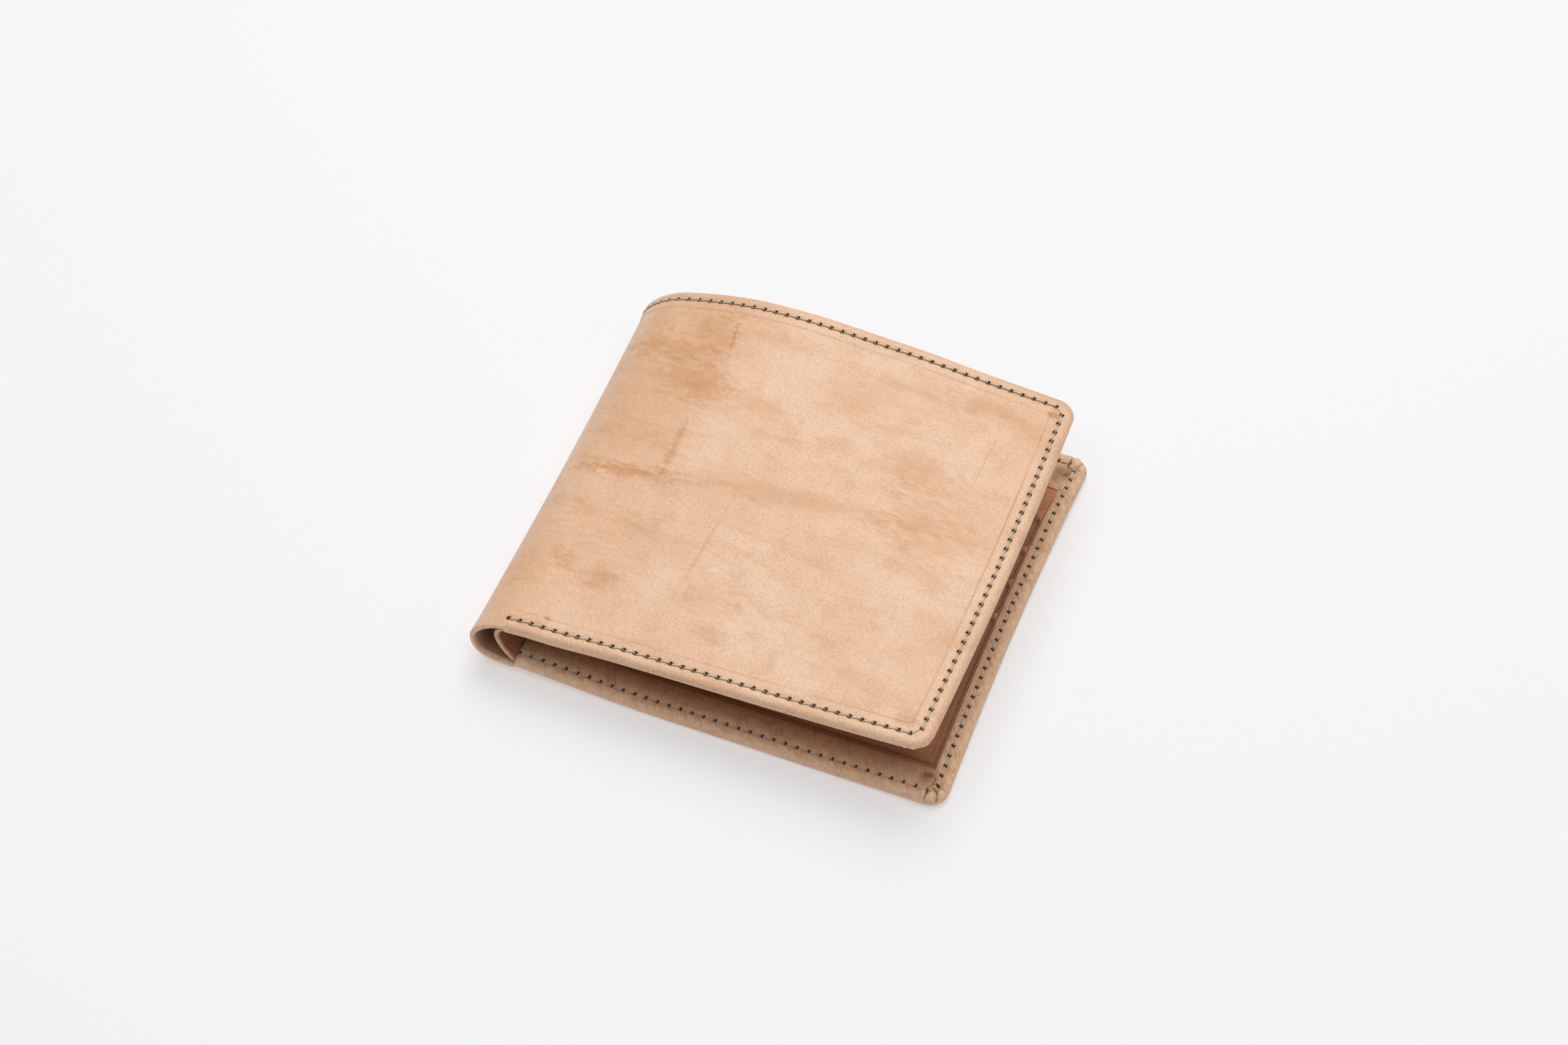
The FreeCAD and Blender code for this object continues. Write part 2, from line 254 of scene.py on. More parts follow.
perSide = [6 * count + 2 * cornerSteps for count in (acrossStitches, upStitches)] * 2
around = sum(perSide)
sideOf = np.repeat(np.arange(4), perSide)
inSide = np.concatenate([np.arange(count) for count in perSide])
isHole = (inSide % 6 == 3) & (inSide >= cornerSteps) & (inSide <= np.repeat(perSide, perSide) - cornerSteps)
atEdge = ring(0, 0, 0, 0, wallet["corner"])
# 1 where the edge is turned in, 0 on the plain cut edge under the fold
hemmed = np.ones(around)
plainFrom = -wallet["fold"] - hem["frontStart"]
plain = (sideOf == 0) & (atEdge[:, 0] < hem["backStart"]) & (atEdge[:, 0] > plainFrom)
hemmed[plain] = 0
thick = np.where(atEdge[:, 0] > -wallet["fold"] / 2, hem["thickBack"], hem["thickFront"])
thick = thick + (hem["thickTop"] - thick) * smooth((atEdge[:, 1] - 80) / 11)
thick = np.where(hemmed > 0, thick, hem["thin"])
holes = isHole & (hemmed > 0)
# how far each point of a ring is along the seam from its nearest needle hole
fromHole = np.full(around, 9.0)
for step in range(-2, 3):
    near = (np.flatnonzero(holes) + step) % around
    fromHole[near] = np.minimum(fromHole[near], pitchSteps[abs(step)] * seam["pitch"])


def holeShape(inset):
    # 1 at the middle of a needle hole, 0.5 at its rim, 0 well away from it
    reach = np.hypot(fromHole / seam["holeLong"], (inset - seam["inset"]) / seam["holeWide"])
    return np.clip(1 - reach / 2, 0, 1)


def pleat(u, v):
    # gathers spreading from the inner corner of the turned leather to the rolled edge
    amount = np.zeros_like(u)
    for cornerU in (uLow, uHigh):
        for cornerV in (0, wallet["height"]):
            du, dv = np.abs(u - cornerU), np.abs(v - cornerV)
            reach = np.hypot(du - 5.6, dv - 5.6)
            angle = np.arctan2(dv - 5.6, du - 5.6)
            near = smooth((8.4 - reach) / 1.4) * smooth((reach - 0.9) / 1.2)
            near = near * smooth((6.8 - np.maximum(du, dv)) / 1.8)
            amount = amount + near * np.sin(angle * 17 + 1.7 * np.sin(angle * 4 + reach * 0.9 + cornerU))
    return amount


def cornerDarkening(u, v):
    # darker at the inner corners of the hem
    du = np.minimum(np.abs(u - uLow), np.abs(u - uHigh))
    dv = np.minimum(v, wallet["height"] - v)
    return bell(np.hypot(du - 5.2, dv - 5.6), 0, 2.4)


def ripple(u, v, seed, size):
    # slow waves of a hand-worked sheet
    total = np.zeros_like(u)
    spin = np.random.default_rng(seed)
    for _ in range(7):
        direction = spin.uniform(0, 2 * math.pi)
        length = size * spin.uniform(0.6, 1.7)
        phase = spin.uniform(0, 2 * math.pi)
        total += np.sin((u * math.cos(direction) + v * math.sin(direction)) * 2 * math.pi / length + phase)
    return total / 7


def waves(points, seed, size):
    return ripple(points[:, 0], points[:, 1], seed, size)


lineDepth = np.where(sideOf == 2, 0.02, 0.07)       # the pressed line is faint along the top
seamInsets = (1.55, 1.85, 2.15, 2.4, 2.6, 2.8, 3.05)
outerInsets = seamInsets + (3.4, 3.9, 4.35, 4.6, 4.78, 4.92, 5.08, 5.3, 5.7, 6.4, 7.3, 8.3)


def outerDepth(inset, points):
    depth = -0.10 * bell(inset, 1.5, 0.6) - 0.06 * bell(inset, 3.9, 0.8)
    depth = depth + seam["dip"] * bell(inset, seam["inset"], 0.5)
    depth = depth + seam["step"] * smooth((inset - seam["line"] + 0.2) / 0.4)
    depth = depth + lineDepth * bell(inset, seam["line"], seam["lineWide"])
    even = seam["step"] * smooth(inset / 6)
    return np.where(hemmed > 0, depth, even) + 0.06 * waves(points, 3, 40) * min(inset / 3, 1)


# how dark marks are: a brown from 0.28, the black of a needle hole from 0.42; needle holes, pleats and the
# hem's lip get these as painted shade
darkness = {"rolledPleat": 0.41, "pleat": 0.47, "lip": 0.42, "topLip": 0.3, "corner": 0.44}


def shellRings():
    # rings of (u, v, depth) from the outer panel over the rolled edge and hem to the inner panel
    rings, marks = [], []

    def add(points, depth, hole, inside, shade=0.0):
        rings.append(np.column_stack([points, np.broadcast_to(depth, around)]))
        marks.append(np.column_stack([np.broadcast_to(k, around) for k in (hole, inside, shade)]))

    for inset in reversed(outerInsets):
        points = ring(inset, inset, inset, inset, float(ringRadius(inset)))
        # needle holes and the groove of the pressed line are darkened as painted shade, the groove fainter
        # along the top
        deep = holeShape(inset)
        crease = (0.22 + 0.4 * waves(points, 8, 30)) * bell(inset, seam["line"], seam["lineWide"])
        crease = crease * np.where(sideOf == 2, 0.3, 1.0)
        add(points, outerDepth(inset, points) + seam["hole"] * smooth(2 * deep - 1), deep, 0.0,
            np.where(hemmed > 0, np.clip(crease, 0, 1), 0))
    inward = ring(1, 1, 1, 1, wallet["corner"] - 1) - atEdge
    radius = thick / 2
    for angle in np.radians(np.arange(90, -91, -15)):
        inset = radius * (1 - math.cos(angle))
        puff = 0.1 * bell(inset, 1.5, 0.6) * math.sin(angle) * hemmed
        place = atEdge + inward * inset[:, None]
        # painted shade in the creases of the pleats round the rolled edge
        fold = pleat(place[:, 0], place[:, 1]) * smooth(0.35 - math.sin(angle)) * hemmed
        add(place, radius * (1 - math.sin(angle)) - puff + 0.2 * fold,
            darkness["rolledPleat"] * smooth((-fold - 0.45) * 2.4), 0.5 - math.sin(angle) / 2)
    widths = np.array([hem["bottom"], hem["side"], hem["top"], hem["side"]])
    plan = [(None, np.full(4, inset)) for inset in seamInsets]
    plan += [(share, 3.05 + share * (widths - 3.17)) for share in (0.12, 0.26, 0.42, 0.6, 0.78, 0.92, 1.0)]
    for share, insets in plan:
        points = ring(*insets, float(ringRadius(max(insets))))
        seamDip = seam["dip"] * bell(insets[0], seam["inset"], 0.5) - 0.08 * bell(insets[0], 1.5, 0.6)
        rough = 0.10 * waves(points, 11, 3.2) + 0.07 * waves(points, 12, 9)
        fold = pleat(points[:, 0], points[:, 1])
        tuft = 0.14 * bell(fromHole, 0, 0.4) * bell(insets[0], 1.95, 0.3)
        surface = thick - seamDip + rough + 0.34 * fold + tuft
        if share == 1.0:
            surface = surface - 0.15
        deep = 0.85 * holeShape(insets[0])
        surface = surface - seam["hole"] * smooth(2 * deep - 1)
        # painted shade in the needle holes and the pleats' creases, and a painted shadow along the hem's
        # inner edge
        dark = np.maximum(deep, darkness["pleat"] * smooth((-fold - 0.4) * 2.4))
        if share == 1.0:
            dark = np.maximum(dark, np.where(sideOf < 2, darkness["lip"], darkness["topLip"]))
        shade = 0.0 if share is None else share**0.7 * np.where(sideOf == 0, 0.6, 0.1)
        # darker blotches at the inner corners of the hem, in both the hole and the shade marks
        darkening = cornerDarkening(points[:, 0], points[:, 1])
        blotchy = np.clip(darkening * (0.7 + 1.4 * waves(points, 61, 2.5)), 0, 1)
        dark = np.maximum(dark, darkness["corner"] * blotchy)
        shade = np.maximum(shade, 0.8 * darkening)
        add(points, np.where(hemmed > 0, surface, hem["thin"]), np.where(hemmed > 0, dark, 0), 1.0, shade)
    # the cut edge, the underside of the turned leather, and the panel's back, all darkened as painted shade,
    # less on the plain edge under the fold
    for back, share, inside in ((0.0, 0.4, 1.2), (0.02, 1.0, 1.2), (3.0, 1.0, 1.0), (3.1, 2.0, 1.0),
                                (0.3, 2.0, 1.0)):
        insets = widths - 0.06 - (widths - 3.3) * back / 3
        points = ring(*insets, float(ringRadius(max(insets))))
        lip = thick - hem["lip"]
        surface = thick + (lip - thick) * share if share <= 1 else np.full(around, hem["thin"])
        add(points, np.where(hemmed > 0, surface, hem["thin"]), np.where(hemmed > 0, darkness["lip"], 0.0),
            inside, np.where(hemmed > 0, 1.0, 0.3))
    insets = widths + 1.2
    add(ring(*insets, float(ringRadius(9.0))), hem["thin"], 0.0, 1.0)
    return rings, marks


rings, ringMarks = shellRings()
print("outer leather:", len(rings), "rings of", around, "points")


nu, nv = perSide[0] // 3 + 1, perSide[1] // 3 + 1


def panelSides(ringPoints):
    # every third point of a ring, as the four sides of the panel's grid
    picks = np.append(ringPoints[::3], ringPoints[:1], 0)
    second, third, fourth = np.cumsum(perSide[:3]) // 3
    return picks[:second + 1], picks[second:third + 1], picks[third:fourth + 1][::-1], picks[fourth:][::-1]


def panelBetween(boundary, depthOf):
    # the even panel inside the last ring
    bottom, right, top, left = panelSides(boundary)
    s, t = np.linspace(0, 1, nu)[:, None, None], np.linspace(0, 1, nv)[None, :, None]
    grid = bottom[:, None] * (1 - t) + top[:, None] * t + left[None] * (1 - s) + right[None] * s
    grid -= (bottom[0] * (1 - s) * (1 - t) + bottom[-1] * s * (1 - t)
             + top[0] * (1 - s) * t + top[-1] * s * t)
    inside = grid[1:-1, 1:-1]
    inside[..., 2] = depthOf(inside[..., 0], inside[..., 1])
    return inside


def panelFaces(ringStart, insideStart):
    # the ring's points at the panel's border, its own elsewhere
    ringEnd = ringStart + around
    index = np.zeros((nu, nv), int)
    index[:, 0], index[-1], index[:, -1], index[0] = panelSides(np.arange(ringStart, ringEnd))
    index[1:-1, 1:-1] = insideStart + np.arange((nu - 2) * (nv - 2)).reshape(nu - 2, nv - 2)
    index = index.tolist()
    faces = []
    for i in range(nu - 1):
        for j in range(nv - 1):
            loop = [index[i][j], index[i + 1][j], index[i + 1][j + 1], index[i][j + 1]]
            face = []
            for a, b in zip(loop, loop[1:] + loop[:1]):
                face.append(a)
                step = (b - a) % around
                if max(a, b) < ringEnd and min(a, b) >= ringStart and step in (3, around - 3):
                    # along the border the ring's other two points come between
                    step = 1 if step == 3 else -1
                    face += [ringStart + (a - ringStart + step * k) % around for k in (1, 2)]
            faces.append(face)
    return faces


# a folded piece is cut into the four parts that move, without a visible seam
foldCuts = (0.25, 0.5, 0.75)


def cutAcross(points, faces, marks, cuts):
    # adds a line of points where each cut crosses the flat piece
    mesh = bpy.data.meshes.new("flat")
    mesh.from_pydata(points.tolist(), [], faces)
    for name, values in marks.items():
        mesh.attributes.new(name, "FLOAT", "POINT").data.foreach_set("value", values)
    work = bmesh.new()
    work.from_mesh(mesh)
    for cut in cuts:
        parts = work.verts[:] + work.edges[:] + work.faces[:]
        bmesh.ops.bisect_plane(work, geom=parts, plane_co=(cut, 0, 0), plane_no=(1, 0, 0), dist=1e-5)
    work.to_mesh(mesh)
    work.free()
    flat = np.zeros(len(mesh.vertices) * 3)
    mesh.vertices.foreach_get("co", flat)
    found = {name: np.zeros(len(mesh.vertices)) for name in marks}
    for name, values in found.items():
        mesh.attributes[name].data.foreach_get("value", values)
    faces = [list(p.vertices) for p in mesh.polygons]
    bpy.data.meshes.remove(mesh)
    return flat.reshape(-1, 3), faces, found


def borderLoops(faces):
    # closed loops of the edges that only one face uses
    used = {}
    for face in faces:
        for a, b in zip(face, face[1:] + face[:1]):
            used[(a, b)] = True
    following = {b: a for a, b in used if (b, a) not in used}
    loops = []
    while following:
        start = next(iter(following))
        loop = [start]
        while following[loop[-1]] != start:
            loop.append(following[loop[-1]])
        for k in loop:
            del following[k]
        loops.append(loop)
    return loops


def foldedPieces(base, points, faces, marks, surface, cuts, material, slotName, nodes, spans):
    # cuts run from the lower half to the cover; spans are not used
    flat, faces, marks = cutAcross(points, faces, marks, cuts)
    space = surface(flat[:, 0], flat[:, 1], flat[:, 2])
    faces, normals = facingOut(space, faces)
    centre = np.array([flat[face, 0].mean() for face in faces])
    edges = [math.inf] + list(cuts) + [-math.inf]
    made = []
    for part in range(4):
        mine = [face for face, c in zip(faces, centre) if edges[part + 1] < c < edges[part]]
        keep = np.unique(np.concatenate(mine))
        renumber = np.full(len(flat), -1)
        renumber[keep] = np.arange(len(keep))
        mine = [renumber[face].tolist() for face in mine]
        caps = borderLoops(mine)
        piece = meshPiece(base + "_" + nodes[part][0], space[keep], mine + caps, material,
                          flat[keep], {name: values[keep] for name, values in marks.items()})
        flush = [np.tile(piece.data.polygons[len(mine) + k].normal, (len(cap), 1))
                 for k, cap in enumerate(caps)]
        corners = np.concatenate([normals[keep][np.concatenate(mine)]] + flush)
        piece.data.normals_split_custom_set(corners.tolist())
        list(spans[part])
        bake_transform(piece)
        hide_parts(*nodes[part][1])
        made.append(piece)
    return made


def partNodes(stem, halfStem=None):
    halfStem = halfStem or stem
    return (("lower_half", [halfStem + "_back"]), ("fold_lower", [stem + "_spine_lower"]),
            ("fold_middle", [stem + "_spine_middle"]),
            ("upper_half", [stem + "_spine_upper", halfStem + "_front"]))


def foldSpans(surface, places, depths):
    # for each two neighbouring fold lines, a start and an end point on a line square to them, kept between
    # the two lines
    v = np.linspace(0, wallet["height"], 60)
    lines = [np.stack([surface(u, v, depth) for depth in depths]) for u in places]
    spans = []
    for first, second in zip(lines[:-1], lines[1:]):
        tilt = (first[:, -1] - first[:, 0] + second[:, -1] - second[:, 0]).mean(0)
        tilt /= np.linalg.norm(tilt)
        middle = first.mean((0, 1))
        way = second.mean((0, 1)) - middle
        way -= tilt * (way @ tilt)
        way /= np.linalg.norm(way)
        ends = ((first @ way).max(), (second @ way).min())
        spans.append([tuple((middle + way * (place - middle @ way)) * mm) for place in ends])
        print("fold blend over", round(ends[1] - ends[0], 2), "mm")
    return spans


def shader(name):
    material = bpy.data.materials.new(name)
    material.use_nodes = True
    tree = material.node_tree
    return material, tree, tree.nodes["Principled BSDF"]


def feed(node, inputs):
    # inputs are numbers, tuples or the outputs of other nodes
    for socket, value in inputs.items():
        if isinstance(value, bpy.types.NodeSocket):
            node.id_data.links.new(value, node.inputs[socket])
        else:
            node.inputs[socket].default_value = value


def put(tree, kind, inputs, **settings):
    node = tree.nodes.new(kind)
    for key, value in settings.items():
        setattr(node, key, value)
    feed(node, inputs)
    return node.outputs


def read(tree, name):
    return put(tree, "ShaderNodeAttribute", {}, attribute_name=name)["Vector" if name == "layout" else "Fac"]


def noise(tree, place, size, detail=3.0, roughness=0.5, twist=0.0):
    # size is the width of one blotch in mm
    return put(tree, "ShaderNodeTexNoise", {"Vector": place, "Scale": 1.0 / size, "Detail": detail,
                                            "Roughness": roughness, "Distortion": twist})["Fac"]


def maths(tree, operation, first, second):
    return put(tree, "ShaderNodeMath", {0: first, 1: second}, operation=operation)[0]


def stretchTo(tree, value, low, high, newLow=0.0, newHigh=1.0):
    return put(tree, "ShaderNodeMapRange", {"Value": value, 1: low, 2: high, 3: newLow, 4: newHigh},
               interpolation_type="SMOOTHSTEP")["Result"]


def tint(rgb):
    # colour as seen on a screen, 0 to 255
    return tuple(((c / 255 + 0.055) / 1.055) ** 2.4 if c > 10 else c / 255 / 12.92 for c in rgb) + (1.0,)


def mixed(tree, share, first, second):
    return put(tree, "ShaderNodeMix", {0: share, 6: first, 7: second}, data_type="RGBA")[2]


def scaled(tree, vector, factors, turn=0.0, middle=(0, 0, 0)):
    inputs = {"Vector": vector, "Location": middle, "Scale": factors, "Rotation": (0, 0, math.radians(turn))}
    return put(tree, "ShaderNodeMapping", inputs, vector_type="TEXTURE")[0]


def bumps(tree, surface, *layers):
    # layers of (height, depth in mm)
    normal = {}
    for height, depth in layers:
        inputs = {"Height": height, "Distance": depth * mm, "Strength": 1.0}
        normal = {"Normal": put(tree, "ShaderNodeBump", inputs | normal)[0]}
    feed(surface, normal)


# marks on the cover: middle (u, v), half length, half width, turn, strength
blemishes = [
    (-33.0, 60.0, 13.0, 48.0, 4, 0.2), (-30.0, 79.0, 12.0, 2.6, 6, 0.4),
    (-39.5, 84.5, 6.5, 5.0, 20, 0.45), (-40.5, 70.5, 8.5, 5.0, 15, 0.6), (-42.4, 53.0, 9.0, 0.9, 90, 0.6),
    (-43.6, 84.0, 4.5, 0.45, 82, 0.9), (-41.0, 79.6, 2.2, 0.7, 10, 0.8), (-56.0, 68.0, 7.0, 2.4, 20, 0.3),
    (-34.0, 44.7, 11.0, 1.5, -3, 0.7), (-70.0, 48.5, 34.0, 2.4, -6, 0.35), (-98.0, 51.0, 9.5, 8.0, 40, 0.45),
    (-31.2, 20.0, 3.0, 2.0, 30, 0.5), (-41.2, 17.2, 3.4, 2.0, -20, 0.5), (-92.0, 64.0, 7.0, 5.0, 0, 0.4),
    (-63.0, 20.0, 6.0, 5.0, 30, 0.28), (-66.0, 12.0, 4.0, 1.6, 10, 0.4), (-24.0, 82.0, 8.0, 6.0, 80, 0.22),
    (-100.5, 86.0, 10.0, 2.4, 0, 0.3), (-104.0, 70.0, 0.22, 13.0, 4, 0.28), (-86.0, 84.0, 14.0, 1.0, 0, 0.3),
    (-113.6, 90.4, 1.0, 1.4, 0, 1.0), (-34.5, 4.9, 0.7, 0.5, 0, 1.0), (-112.0, 5.5, 2.6, 1.8, 30, 0.55),
    (-58.0, 30.0, 0.35, 14.0, 5, 0.35), (-45.0, 30.0, 16.0, 5.0, 10, 0.2),
    (-76.0, 78.0, 12.0, 6.0, -20, 0.2),
]


def patch(tree, place, wobble, mark):
    u, v, length, width, turn, strength = mark
    near = scaled(tree, place, (length, width, 1000), turn, (u, v, 0))
    far = put(tree, "ShaderNodeVectorMath", {0: near}, operation="LENGTH")["Value"]
    return stretchTo(tree, maths(tree, "ADD", far, wobble), 1.5, 0.1, 0.0, strength)


def leatherMaterial(name, colours, inner=False):
    material, tree, surface = shader(name)
    place = read(tree, "layout")
    cloudy = noise(tree, place, 26, 4, 0.6)
    mottled = noise(tree, place, 5.5, 5, 0.62, 0.4)
    fine = noise(tree, place, 0.55, 4, 0.75)
    hairs = noise(tree, scaled(tree, place, (0.55, 0.3, 1), 24), 1.0, 3, 0.65, 0.4)
    long = noise(tree, scaled(tree, place, (22, 6, 1), 6), 1.0, 5, 0.65, 0.6)
    tone = {part: tint(rgb) for part, rgb in colours.items() if part != "gloss"}
    colour = mixed(tree, stretchTo(tree, cloudy, 0.36, 0.66), tone["light"], tone["mid"])
    for pattern, low, high, most, shade in (
            (long, 0.48, 0.72, 0.4, "stain"), (mottled, 0.5, 0.78, 0.4, "dark"),
            (fine, 0.46, 0.66, 0.55, "dark"), (hairs, 0.47, 0.68, 0.45, "pale")):
        colour = mixed(tree, stretchTo(tree, pattern, low, high, 0, most), colour, tone[shade])
    # scattered pores and specks
    speck = put(tree, "ShaderNodeTexVoronoi", {"Vector": place, "Scale": 1 / 4.5}, feature="F1")
    dots = maths(tree, "MULTIPLY", stretchTo(tree, speck["Distance"], 0.11, 0.03),
                 stretchTo(tree, noise(tree, place, 11, 2), 0.5, 0.62))
    colour = mixed(tree, maths(tree, "MULTIPLY", dots, 0.3), colour, tone["stain"])
    rubbed = noise(tree, scaled(tree, place, (3.2, 1.2, 1), 8), 1.0, 6, 0.75, 0.5)
    wobble = maths(tree, "MULTIPLY", maths(tree, "SUBTRACT", rubbed, 0.5), 4.2)
    speckled = maths(tree, "MULTIPLY", maths(tree, "SUBTRACT", fine, 0.5), 2.2)
    wobble = maths(tree, "ADD", wobble, speckled)
    if not inner:
        for mark in blemishes:
            colour = mixed(tree, patch(tree, place, wobble, mark), colour, tone["stain"])
    inside = read(tree, "inside")
    cut = stretchTo(tree, inside, 0.55, 1.0)
    hairy = noise(tree, scaled(tree, place, (1.1, 2.1, 1), 35), 1.0, 6, 0.72, 0.8)
    fleshy = mixed(tree, stretchTo(tree, hairy, 0.4, 0.74), tone["flesh"], tone["fleshDark"])
    soiled = stretchTo(tree, noise(tree, place, 3.4, 5, 0.7, 0.6), 0.5, 0.74, 0, 0.6)
    fleshy = mixed(tree, soiled, fleshy, tone["fleshDark"])
    colour = mixed(tree, maths(tree, "MULTIPLY", cut, 0.75), colour, fleshy)
    # the shade mark paints shade on the hem, in grooves and across the fold, and darkens the hem's inner
    # corners
    colour = mixed(tree, read(tree, "shade"), colour, tone["shade"])
    # the hole mark paints shade into needle holes, pleats and along the hem's lip, and darkens the hem's
    # inner corners
    hole = read(tree, "hole")
    colour = mixed(tree, stretchTo(tree, hole, 0.28, 0.42, 0, 0.7), colour, tint((128, 82, 54)))
    colour = mixed(tree, stretchTo(tree, hole, 0.42, 0.54), colour, tint((52, 33, 22)))
    gloss = stretchTo(tree, mottled, 0.3, 0.8, colours["gloss"], colours["gloss"] + 0.16)
    feed(surface, {"Base Color": colour, "Roughness": gloss, "Specular IOR Level": 0.5,
                   "Sheen Weight": 0.06})
    pebbles = {"Vector": place, "Scale": 1 / 0.55, "Smoothness": 0.6}
    grain = put(tree, "ShaderNodeTexVoronoi", pebbles, feature="SMOOTH_F1")["Distance"]
    fibre = maths(tree, "MULTIPLY", hairy, cut)
    bumps(tree, surface, (noise(tree, place, 7, 4, 0.55), 0.22), (noise(tree, place, 1.5, 4, 0.6), 0.07),
          (grain, 0.04), (fine, 0.04), (fibre, 0.3))
    return material


vegTan = {
    "light": (237, 198, 166), "mid": (229, 185, 149), "dark": (205, 154, 114), "stain": (203, 141, 82),
    "pale": (246, 216, 188),
    "flesh": (255, 216, 176), "fleshDark": (206, 150, 108), "shade": (150, 92, 56), "gloss": 0.4,
}
# the pockets' leather is redder than the outer leather, and its colours are darkened in part as painted
# shade for the wallet's inside
pocketTan = {
    "light": (222, 154, 104), "mid": (206, 134, 84), "dark": (170, 98, 56), "stain": (136, 72, 36),
    "pale": (216, 166, 130), "flesh": (238, 204, 176), "fleshDark": (212, 168, 134), "shade": (86, 46, 24),
    "gloss": 0.46,
}
outerLeather = leatherMaterial("vegetable tanned leather", vegTan)
innerLeather = leatherMaterial("pocket leather", pocketTan, inner=True)


def clothMaterial():
    material, tree, surface = shader("lining cloth")
    place = read(tree, "layout")
    threads = {"Vector": place, "Scale": 0.9, "Distortion": 0.8}
    warp, weft = (put(tree, "ShaderNodeTexWave", threads, bands_direction=way)["Fac"] for way in ("X", "Y"))
    weave = maths(tree, "MULTIPLY", warp, weft)
    colour = mixed(tree, weave, tint((164, 120, 88)), tint((196, 152, 116)))
    worn = stretchTo(tree, noise(tree, place, 14, 3), 0.4, 0.7, 0, 0.4)
    colour = mixed(tree, worn, colour, tint((140, 98, 68)))
    feed(surface, {"Base Color": colour, "Roughness": 0.85, "Sheen Weight": 0.3})
    bumps(tree, surface, (weave, 0.05))
    return material


def threadMaterial():
    material, tree, surface = shader("waxed linen thread")
    place = read(tree, "layout")
    plies = {"Vector": place, "Scale": 1.1}
    twist = put(tree, "ShaderNodeTexWave", plies, bands_direction="DIAGONAL")["Fac"]
    colour = mixed(tree, stretchTo(tree, twist, 0.2, 0.8), tint((204, 184, 154)), tint((244, 230, 204)))
    worn = stretchTo(tree, noise(tree, place, 6, 2), 0.4, 0.7, 0, 0.35)
    feed(surface, {"Base Color": mixed(tree, worn, colour, tint((150, 128, 102))), "Roughness": 0.6})
    bumps(tree, surface, (twist, 0.06))
    return material


liningCloth = clothMaterial()
linenThread = threadMaterial()
print("materials ready")


def buildShell():
    points = np.vstack(rings)
    marks = np.vstack(ringMarks)
    faces = []
    for k in range(len(rings) - 1):
        a, b = k * around + np.arange(around), (k + 1) * around + np.arange(around)
        faces += np.column_stack([a, np.roll(a, -1), np.roll(b, -1), b]).tolist()

    def outerPanel(u, v):
        return seam["step"] + 0.06 * ripple(u, v, 3, 40)

    def innerPanel(u, v):
        return hem["thin"] + 0 * u

    for ringIndex, depthOf, inside in ((0, outerPanel, 0.0), (len(rings) - 1, innerPanel, 1.0)):
        grid = panelBetween(rings[ringIndex], depthOf)
        faces += panelFaces(ringIndex * around, len(points))
        points = np.vstack([points, grid.reshape(-1, 3)])
        marks = np.vstack([marks, np.tile([0.0, inside, 0.0], (grid[..., 0].size, 1))])
    return points, faces, {name: marks[:, k] for k, name in enumerate(("hole", "inside", "shade"))}


shellPoints, shellFaces, shellMarks = buildShell()
cutPlaces = [-wallet["fold"] * f for f in foldCuts]
# the leather and the lining are both given these spans
outerSpans = foldSpans(wrap, [0.0] + cutPlaces + [-wallet["fold"]], (-0.2, 2.9))
leatherParts = foldedPieces("outer_leather", shellPoints, shellFaces, shellMarks, wrap, cutPlaces,
                            outerLeather, "outer_leather", partNodes("outer_leather"), outerSpans)
print("outer leather made:", sum(len(p.data.vertices) for p in leatherParts), "points")


def slab(outline, s, t, low, high, edge=0.12, shadeOf=None):
    # a thin piece with a rounded edge: outline(s, t) gives its (u, v), low and high its faces' depths there
    s, t = np.array(s), np.array(t)
    nu, nv = len(s), len(t)
    wide, tall = np.meshgrid(s, t, indexing="ij")
    width = np.ptp(outline(s, 0 * s + 0.5)[0])
    height = np.ptp(outline(0 * t + 0.5, t)[1])
    endU, endV = edge / width, edge / height
    drawn = outline(np.clip(wide, endU, 1 - endU), np.clip(tall, endV, 1 - endV))
    u, v = (a.ravel() for a in drawn)
    loop = [i * nv for i in range(nu)] + [(nu - 1) * nv + j for j in range(1, nv)]
    loop += [i * nv + nv - 1 for i in range(nu - 2, -1, -1)] + list(range(nv - 2, 0, -1))
    rimU, rimV = outline(wide.ravel()[loop], tall.ravel()[loop])
    points = np.vstack([np.column_stack([u, v, low(u, v)]), np.column_stack([u, v, high(u, v)]),
                        np.column_stack([rimU, rimV, (low(rimU, rimV) + high(rimU, rimV)) / 2])])
    cell = (np.arange(nu - 1)[:, None] * nv + np.arange(nv - 1)).ravel()[:, None]
    quad = cell + np.array([0, nv, nv + 1, 1])
    total = nu * nv
    faces = quad[:, ::-1].tolist() + (quad + total).tolist()
    loop = np.array(loop)
    rim = 2 * total + np.arange(len(loop))
    for a, b in ((loop, rim), (rim, loop + total)):
        faces += np.column_stack([a, np.roll(a, -1), np.roll(b, -1), b]).tolist()
    inside = np.concatenate([np.zeros(2 * total), np.ones(len(loop))])
    inside[loop] = inside[loop + total] = 0.75
    shade = np.zeros(len(points)) if shadeOf is None else shadeOf(points[:, 0], points[:, 1])
    return points, faces, {"hole": np.zeros(len(points)), "inside": inside, "shade": shade}


def plainPiece(name, shape, surface, material, body, node):
    points, faces, marks = shape
    space = surface(points[:, 0], points[:, 1], points[:, 2])
    faces, _ = facingOut(space, faces)
    piece = meshPiece(name, space, faces, material, points, marks)
    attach(piece, body)
    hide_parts(node)


# the inner fold is a tighter curve than the outer one; w is the place along the divider
innerFold = {"length": 14.5, "start": 1.6, "handleLow": (-3.6, 2.0), "handleHigh": -6.0, "depth": 1.55}


